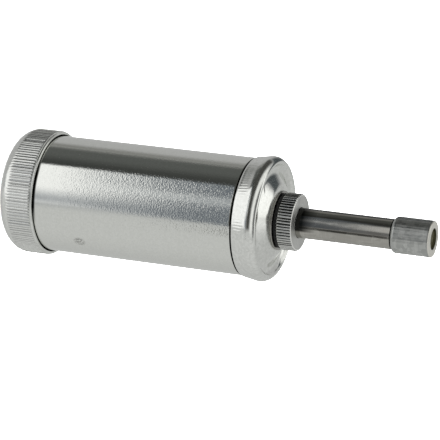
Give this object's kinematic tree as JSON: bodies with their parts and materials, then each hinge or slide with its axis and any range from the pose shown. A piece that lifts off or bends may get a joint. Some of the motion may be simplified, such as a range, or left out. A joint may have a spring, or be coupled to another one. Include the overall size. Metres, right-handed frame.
{
  "type": "push-type grease gun",
  "caption": "Slim push-type hand grease gun with a plated cylindrical barrel, knurled screw caps, a sprung pump tube and a knurled hollow mouthpiece that seats on a grease nipple.",
  "frame": {"origin": "centre of the rear cap's flat base, on the gun's axis", "axes": "+Z along the axis from the rear cap to the mouthpiece, +X and +Y across the barrel"},
  "size_m": [0.0508, 0.0508, 0.1752],
  "materials": {
    "plated_barrel": "zinc plated, fine circumferential grain",
    "plated_cap": "zinc plated, pressed sheet",
    "plated_nut": "zinc plated, turned",
    "bare_steel": "bare drawn steel",
    "spring_steel": "bright wire",
    "pump_brass": "turned",
    "black_rubber": "matt",
    "cup_leather": "greased"
  },
  "bodies": {
    "barrel": {"barrel": "plated_barrel", "follower_spring": "spring_steel"},
    "rear_seal": {"rear_cap_seal": "black_rubber"},
    "rear_cap": {"rear_cap": "plated_cap"},
    "follower": {"follower_plate": "plated_cap", "follower_cup": "cup_leather", "follower_washer": "plated_cap", "follower_nut": "plated_nut"},
    "front_seal": {"front_cap_seal": "black_rubber"},
    "front_cap": {"front_cap": "plated_cap", "pump_body": "pump_brass", "pump_end_plug": "pump_brass", "piston_rod": "bare_steel", "return_spring": "spring_steel", "collar_washer": "plated_nut", "neck_seal": "black_rubber"},
    "packing": {"gland_packing": "black_rubber"},
    "gland_nut": {"gland_nut": "plated_nut"},
    "plunger": {"plunger_tube": "bare_steel", "plunger_stop": "bare_steel", "check_spring": "spring_steel"},
    "check_ball": {"check_ball": "spring_steel"},
    "mouth_seal": {"mouthpiece_seal": "cup_leather"},
    "mouthpiece": {"mouthpiece": "plated_nut"}
  },
  "joints": [
    {"name": "rear_cap_travel", "type": "slide", "parent": "barrel", "child": "rear_seal", "axis": [0, 0, -1], "range_m": [0, 0.0075]},
    {"name": "rear_cap_turn", "type": "hinge", "parent": "rear_seal", "child": "rear_cap", "pos_m": [0, 0, 0], "axis": [0, 0, -1], "range_deg": [0, 1801]},
    {"name": "follower_slide", "type": "slide", "parent": "barrel", "child": "follower", "axis": [0, 0, -1], "range_m": [0, 0.026], "stiffness_N_per_m": 300, "springref_m": -0.03, "deforming": ["follower_spring"]},
    {"name": "front_cap_travel", "type": "slide", "parent": "barrel", "child": "front_seal", "axis": [0, 0, 1], "range_m": [0, 0.0045]},
    {"name": "front_cap_turn", "type": "hinge", "parent": "front_seal", "child": "front_cap", "pos_m": [0, 0, 0.1], "axis": [0, 0, 1], "range_deg": [0, 1081]},
    {"name": "gland_nut_travel", "type": "slide", "parent": "front_cap", "child": "packing", "axis": [0, 0, 1], "range_m": [0, 0.003]},
    {"name": "gland_nut_turn", "type": "hinge", "parent": "packing", "child": "gland_nut", "pos_m": [0, 0, 0.118], "axis": [0, 0, 1], "range_deg": [0, 1081]},
    {"name": "plunger_slide", "type": "slide", "parent": "front_cap", "child": "plunger", "axis": [0, 0, -1], "range_m": [0, 0.026], "stiffness_N_per_m": 900, "springref_m": -0.02, "deforming": ["return_spring"]},
    {"name": "check_ball_lift", "type": "slide", "parent": "plunger", "child": "check_ball", "axis": [0, 0, 1], "range_m": [0, 0.001], "stiffness_N_per_m": 200, "springref_m": -0.002, "deforming": ["check_spring"]},
    {"name": "mouthpiece_travel", "type": "slide", "parent": "plunger", "child": "mouth_seal", "axis": [0, 0, 1], "range_m": [0, 0.005]},
    {"name": "mouthpiece_turn", "type": "hinge", "parent": "mouth_seal", "child": "mouthpiece", "pos_m": [0, 0, 0.16], "axis": [0, 0, 1], "range_deg": [0, 1801]}
  ],
  "couplings": [
    {"joint": "rear_cap_turn", "follows": "rear_cap_travel", "rad_per_m": 4188.8},
    {"joint": "front_cap_turn", "follows": "front_cap_travel", "rad_per_m": 4188.8},
    {"joint": "gland_nut_turn", "follows": "gland_nut_travel", "rad_per_m": 6283.2},
    {"joint": "mouthpiece_turn", "follows": "mouthpiece_travel", "rad_per_m": 6283.2}
  ]
}
